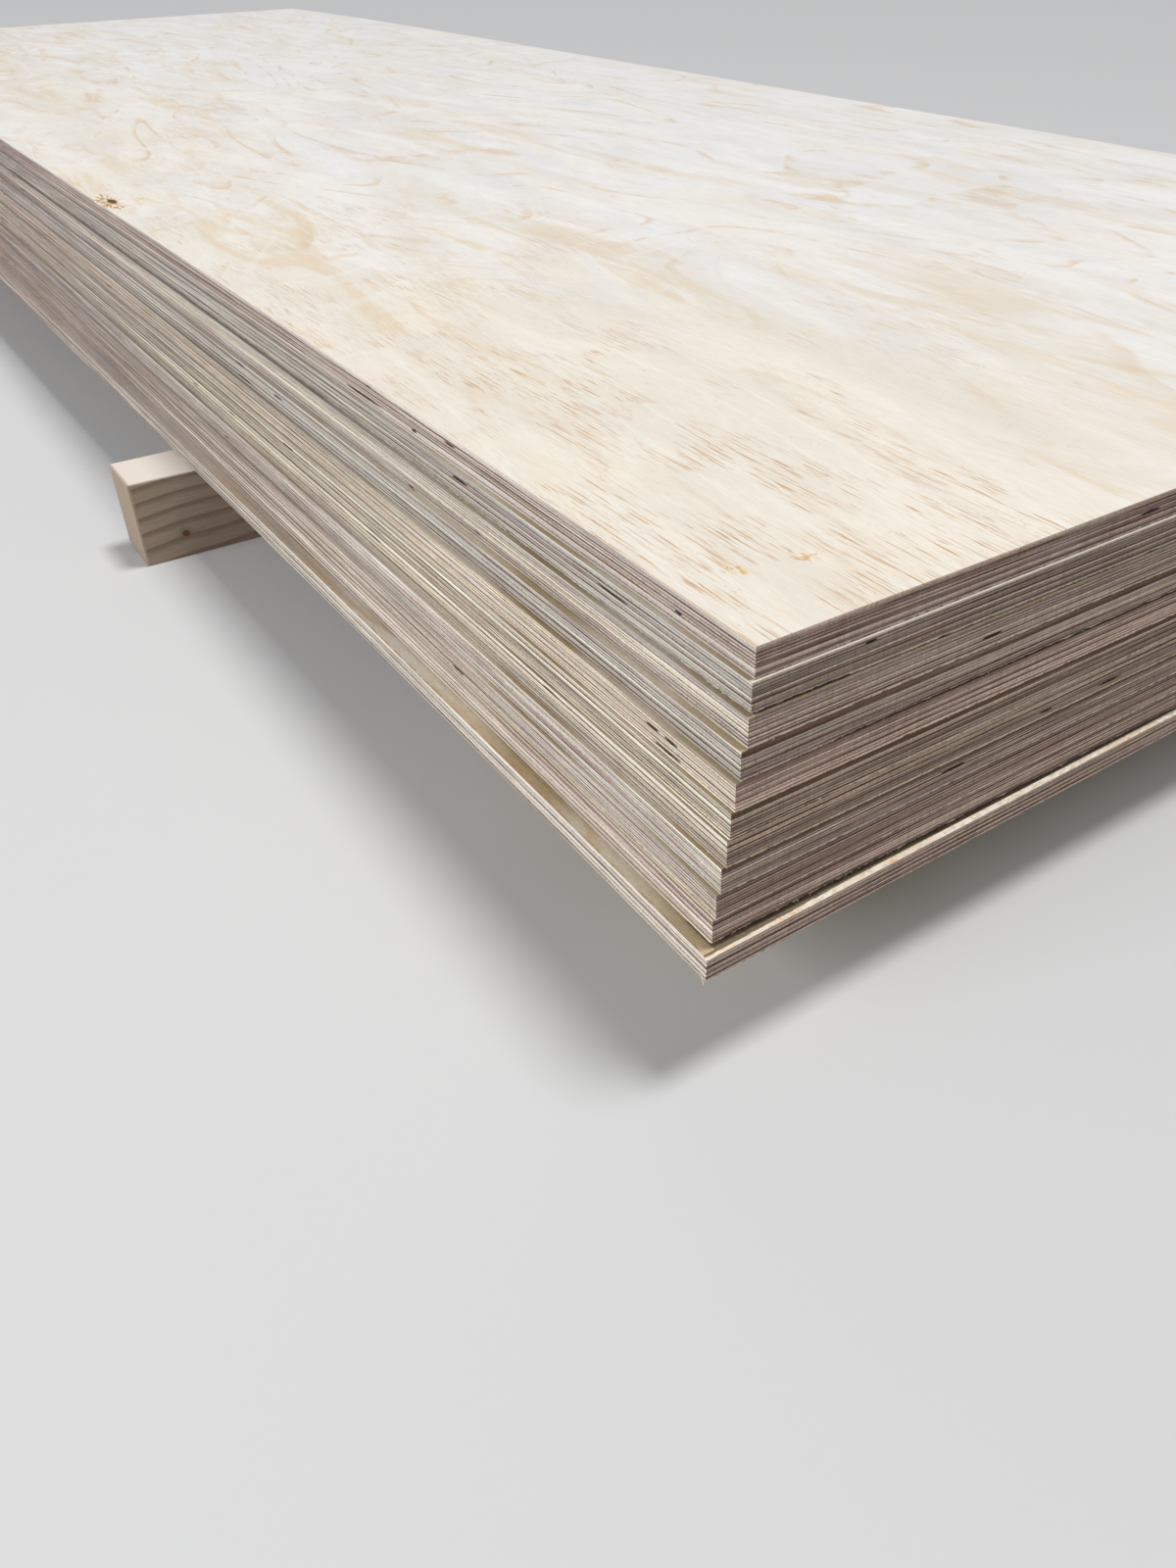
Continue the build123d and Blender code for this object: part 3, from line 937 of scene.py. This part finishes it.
def wear(bm, plan, rows, number, settings, torn_width, knot):
    """Wear the flat sheet with rough sawn edges, wavy plies and tears, and droop its ends."""
    row_layer = bm.verts.layers.int["row"]
    torn_layer = bm.verts.layers.float.new(TORN)
    seed = number * PATTERN_STEP

    def rough(place, scale, salt):
        return noise.noise(Vector((place * scale, seed, salt)))

    def tear_height(inward, place):
        """Height to which the lowest veneer is torn away at a place on an edge."""
        tears = END_TEARS if inward.y > 0 else SIDE_TEARS if inward.x > 0 else {}
        start, end, height = tears.get(number, (0.0, 0.0, 0.0))
        ragged = 0.75 + 0.8 * rough(place, 85, 11) + 0.6 * rough(place, 340, 2)
        if start <= abs(place) <= end and height:
            inside = min(abs(place) - start + 0.01, end - abs(place))
            return height * min(1.0, 0.15 + max(0.0, inside) / 0.02) * max(0.25, ragged)
        here = max(0.0, ragged - 0.95 + 0.3 * rough(place, 3, 7))
        return settings.tear_out * here * (1.0 if inward.y else 0.5)

    half_knot = settings.knot_length / 2
    knot_radius = (half_knot**2 + settings.knot_depth**2) / (2 * settings.knot_depth)
    for vertex in bm.verts:
        x, y, z = vertex.co
        row = vertex[row_layer]
        ply, glue_line, depth = rows[row]

        # Edges that the point lies on, with their way inwards and its distance round the sheet
        sides = []
        if x < TOUCH:
            sides.append((Vector((1, 0)), -y))
        if x > plan.width - TOUCH:
            sides.append((Vector((-1, 0)), plan.width + y))
        if y < TOUCH:
            sides.append((Vector((0, 1)), x))
        if y > plan.length - TOUCH:
            sides.append((Vector((0, -1)), -plan.length - x))

        shift = Vector((0, 0))
        for inward, place in sides:
            bite = settings.saw_wander * (0.5 + 0.5 * rough(place, 2.1, 0.0))
            if inward.y > 0 and number <= len(SHEET_NODES):
                bite -= settings.lean * depth / plan.thickness
            if ply < 0:
                bite += settings.arris
            else:
                bite += settings.fuzz * (0.5 + 0.5 * rough(place, 230, row * 3.7))
                if ply % 2:
                    bite += settings.cross_recess * (1 + 0.5 * rough(place, 30, ply * 1.9))
            shift += inward * bite
            if 0 < glue_line < settings.ply_count:
                z += settings.ply_wave * rough(place, 9, glue_line * 0.6 + 20)
            if depth > plan.thickness - 2 * settings.arris:
                torn = tear_height(inward, place)
                if ply >= 0:
                    z += torn
                elif torn > TEAR_BREAKS:
                    shift += inward * min(TEAR_PULL, 2 * torn)
                # Share of painted shade in the tear, which the edge material reads
                vertex[torn_layer] = max(vertex[torn_layer], min(1.0, torn / TEAR_FULL_SHADE))

        # Torn strip of the face veneer, which deepens towards the cut
        if torn_width and y < torn_width:
            ragged = 1 + 0.5 * rough(x, 120, 31) + 0.3 * rough(x, 500, 37)
            z = min(z, -settings.torn_depth * (1 - y / torn_width) * ragged)

        # Hollow of the open knot, part of a ball sunk into the upper plies
        if knot and z > KNOT_FLOOR:
            reach = math.hypot(x - settings.knot_reach + half_knot, y - settings.knot_place)
            if reach < half_knot:
                z -= math.sqrt(knot_radius**2 - reach**2) - knot_radius + settings.knot_depth
        vertex.co = plan.point(x + shift.x, y + shift.y, z)
    bmesh.ops.recalc_face_normals(bm, faces=bm.faces)


def add_object(name, data):
    """Object in the scene's collection."""
    made = bpy.data.objects.new(name, data)
    bpy.context.collection.objects.link(made)
    return made


def finished(bm, name, materials):
    """Object made from a bmesh, riding on the pile."""
    mesh = bpy.data.meshes.new(name)
    bm.to_mesh(mesh)
    bm.free()
    for material in materials:
        mesh.materials.append(material)
    piece = add_object(name, mesh)
    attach(piece, "root")
    return piece


def build_sheet(name, node, number, settings, materials, torn_width=0.0, knot=False):
    """One sheet in place of its CAD node."""
    plan = SheetPlan(node)
    rows = ply_rows(settings, plan.thickness)
    extra = [torn_width / 2, torn_width] if torn_width else []
    if knot:
        start = settings.knot_place - settings.knot_length / 2
        extra = [start + settings.knot_length * step / KNOT_STEPS for step in range(KNOT_STEPS + 1)]
    bm = flat_sheet(plan, rows, extra)
    lay_pattern(bm, plan, number * PATTERN_STEP, torn_width)
    if knot:
        for share in KNOT_CUTS:
            faces = [f for f in bm.faces if f.material_index == FACE and f.verts[0].co.z > -TOUCH]
            edges = {e for f in faces for e in f.edges}
            corners = {v for f in faces for v in f.verts}
            place = (settings.knot_reach * share, 0, 0)
            bmesh.ops.bisect_plane(
                bm, geom=[*faces, *edges, *corners], plane_co=place, plane_no=(1, 0, 0)
            )
    wear(bm, plan, rows, number, settings, torn_width, knot)
    piece = finished(bm, name, materials)
    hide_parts(node)


class PLYWOOD_OT_pile(bpy.types.Operator):
    """Build the sheets of the pile"""

    bl_idname = "plywood.pile"
    bl_label = "Pile Sheets"

    def execute(self, context):
        settings = context.scene.plywood_sheets
        top = SheetPlan(SHEET_NODES[0])
        inner = sheet_face(settings)
        long_edge = sawn_edge("pile_long_edge", settings, False, top.thickness)
        end_edge = sawn_edge("pile_end_edge", settings, True, top.thickness)
        for number, node in enumerate(SHEET_NODES, 1):
            face = top_face(settings, (*top.corner, 0.0)) if number == 1 else inner
            materials = (face, long_edge, end_edge)
            build_sheet(
                f"pile_{node}", node, number, settings, materials, knot=number == 1
            )
        return {"FINISHED"}


class PLYWOOD_OT_base(bpy.types.Operator):
    """Build the base sheet under the pile"""

    bl_idname = "plywood.base"
    bl_label = "Base Sheet"

    def execute(self, context):
        settings = context.scene.plywood_sheets
        plan = SheetPlan(BASE_NODE)
        materials = (
            base_face(settings),
            sawn_edge("base_long_edge", settings, False, plan.thickness),
            sawn_edge("base_end_edge", settings, True, plan.thickness),
            torn_veneer(plan),
        )
        number = len(SHEET_NODES) + 1
        width = settings.torn_width
        build_sheet(
            "base_plywood_sheet", BASE_NODE, number, settings, materials, width
        )
        return {"FINISHED"}


def add_fibre(bm, root, tip, radius):
    """One torn fibre: a thin three-sided spike."""
    line = tip - root
    turn = line.to_track_quat("Z", "Y").to_matrix().to_4x4()
    bmesh.ops.create_cone(
        bm,
        cap_ends=True,
        segments=3,
        radius1=radius,
        radius2=radius * 0.15,
        depth=line.length,
        matrix=Matrix.Translation((root + tip) / 2) @ turn,
    )


class PLYWOOD_OT_fibres(bpy.types.Operator):
    """Add the torn fibres that hang from the sawn edges"""

    bl_idname = "plywood.fibres"
    bl_label = "Torn Fibres"

    def execute(self, context):
        settings = context.scene.plywood_sheets
        chance = random.Random(7)
        wood = torn_veneer()
        inset = settings.saw_wander + settings.arris
        for node in (*SHEET_NODES, BASE_NODE):
            plan = SheetPlan(node)
            below = -plan.thickness
            bm = bmesh.new()
            for _ in range(END_FIBRES):
                x = CORNER_CLEAR + 0.9 * chance.random() ** 1.8
                lean = chance.uniform(-1.0, 1.0)
                size = chance.uniform(0.0008, 0.0035) * (1.6 if chance.random() < 0.1 else 1.0)
                root = plan.point(x, inset, below + chance.uniform(0.0002, 0.0012))
                outward = 0.0 if node == BASE_NODE else chance.uniform(0.0, 0.5) * size
                foot = below - chance.uniform(-0.5, 0.35) * size
                tip = plan.point(x + lean * size, inset - outward, foot)
                add_fibre(bm, root, tip, chance.uniform(0.0002, 0.00045))
            for _ in range(SIDE_FIBRES):
                y = CORNER_CLEAR + 1.2 * chance.random() ** 1.8
                lean = chance.uniform(-1.0, 1.0)
                size = chance.uniform(0.0006, 0.0024)
                root = plan.point(inset, y, below + chance.uniform(0.0002, 0.001))
                outward = chance.uniform(0.0, 0.5) * size
                foot = below - chance.uniform(-0.5, 0.3) * size
                tip = plan.point(inset - outward, y + lean * size, foot)
                add_fibre(bm, root, tip, chance.uniform(0.00015, 0.00035))
            if node == BASE_NODE:
                # A stout splinter at the near corner
                root = plan.point(0.0014, 0.006, below + 0.003)
                add_fibre(bm, root, plan.point(-0.0006, 0.0008, below - 0.0024), 0.0009)
            finished(bm, f"torn_fibres_{node}", [wood])
        return {"FINISHED"}


class PLYWOOD_OT_bearers(bpy.types.Operator):
    """Give the timber bearers their sawn finish"""

    bl_idname = "plywood.bearers"
    bl_label = "Timber Bearers"

    def execute(self, context):
        settings = context.scene.plywood_bearers
        for node in BEARER_NODES:
            finish = timber(settings, f"{node}_timber", *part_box(node))
            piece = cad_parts[node]
            piece.data.materials.clear()
            piece.data.materials.append(finish)
        return {"FINISHED"}


def lay_floor(settings):
    """Plain pale studio floor."""
    bm = bmesh.new()
    bmesh.ops.create_grid(bm, x_segments=1, y_segments=1, size=FLOOR_REACH)
    mesh = bpy.data.meshes.new("studio_floor")
    bm.to_mesh(mesh)
    bm.free()
    paint = bpy.data.materials.new("studio_floor")
    paint.use_nodes = True
    shader = paint.node_tree.nodes["Principled BSDF"]
    shader.inputs["Base Color"].default_value = (*settings.floor_colour, 1.0)
    shader.inputs["Roughness"].default_value = 0.9
    mesh.materials.append(paint)
    floor = add_object("studio_floor", mesh)


def hang_lamp(light, place, direction):
    """Lamp at a place, shining in a direction."""
    lamp = add_object(light.name, light)
    lamp.location = place
    lamp.rotation_mode = "QUATERNION"
    lamp.rotation_quaternion = Vector(direction).to_track_quat("-Z", "Y")


def light_stage(scene, settings):
    """Even light of the room, a wide lamp overhead and a soft one on the long side."""
    air = bpy.data.worlds.new("studio_air")
    air.use_nodes = True
    background = air.node_tree.nodes["Background"]
    background.inputs["Color"].default_value = (0.93, 0.95, 1.0, 1.0)
    background.inputs["Strength"].default_value = settings.sky
    scene.world = air
    scene.view_settings.view_transform = "Standard"

    overhead = bpy.data.lights.new("overhead", "SUN")
    overhead.energy = settings.overhead
    overhead.angle = 0.25
    hang_lamp(overhead, (0, 0, 0), (-0.27, 0.10, -1.0))

    side = bpy.data.lights.new("long_side", "AREA")
    side.shape = "RECTANGLE"
    side.size, side.size_y = 6.0, 2.4
    side.energy = settings.side_power
    place = Vector((-7.1, -2.6, 4.0))
    hang_lamp(side, place, Vector((-0.5, -1.2, 0.2)) - place)


def set_camera(scene, settings):
    """The photograph's view, worked out from the sheets' edges."""
    top = SheetPlan(SHEET_NODES[0])
    turn, pitch, roll = (math.radians(angle) for angle in CAMERA_ANGLES)
    level = math.cos(pitch)
    forward = Vector((level * math.cos(turn), level * math.sin(turn), -math.sin(pitch)))
    right = forward.cross(Vector((0, 0, 1))).normalized()
    down = forward.cross(right)
    right, down = (
        math.cos(roll) * right + math.sin(roll) * down,
        -math.sin(roll) * right + math.cos(roll) * down,
    )
    lens = bpy.data.cameras.new("photo_view")
    lens.sensor_width = 36.0
    lens.lens = settings.lens
    lens.clip_start = 0.01
    camera = add_object("photo_view", lens)
    axes = Matrix((right, -down, -forward)).transposed().to_4x4()
    place = Vector((*top.corner, top.level)) + Vector(settings.camera_offset)
    camera.matrix_world = Matrix.Translation(place) @ axes
    scene.camera = camera


class PLYWOOD_OT_stage(bpy.types.Operator):
    """Set the floor, the soft light and the camera"""

    bl_idname = "plywood.stage"
    bl_label = "Studio Stage"

    def execute(self, context):
        settings = context.scene.plywood_stage
        lay_floor(settings)
        light_stage(context.scene, settings)
        set_camera(context.scene, settings)
        return {"FINISHED"}


OPERATORS = (
    PLYWOOD_OT_stage, PLYWOOD_OT_bearers, PLYWOOD_OT_base, PLYWOOD_OT_pile, PLYWOOD_OT_fibres
)


class VIEW3D_PT_plywood(bpy.types.Panel):
    """Buttons and settings of the stack"""

    bl_label = "Plywood Stack"
    bl_space_type = "VIEW_3D"
    bl_region_type = "UI"
    bl_category = "Plywood"

    def draw(self, context):
        for operator in OPERATORS:
            self.layout.operator(operator.bl_idname)
        for name in GROUPS:
            group = getattr(context.scene, name)
            box = self.layout.box()
            for key in group.__annotations__:
                box.prop(group, key)


GROUPS = {
    "plywood_sheets": SheetSettings,
    "plywood_bearers": BearerSettings,
    "plywood_stage": StageSettings,
}


def register():
    for group in GROUPS.values():
        bpy.utils.register_class(group)
    for cls in (*OPERATORS, VIEW3D_PT_plywood):
        bpy.utils.register_class(cls)
    for key, group in GROUPS.items():
        setattr(bpy.types.Scene, key, PointerProperty(type=group))


def unregister():
    for key in GROUPS:
        delattr(bpy.types.Scene, key)
    for cls in (VIEW3D_PT_plywood, *reversed(OPERATORS)):
        bpy.utils.unregister_class(cls)
    for group in GROUPS.values():
        bpy.utils.unregister_class(group)


def main():
    register()
    bpy.ops.plywood.stage()
    bpy.ops.plywood.bearers()
    bpy.ops.plywood.base()
    bpy.ops.plywood.pile()
    bpy.ops.plywood.fibres()
    bpy.context.view_layer.update()


if __name__ == "__main__":
    main()
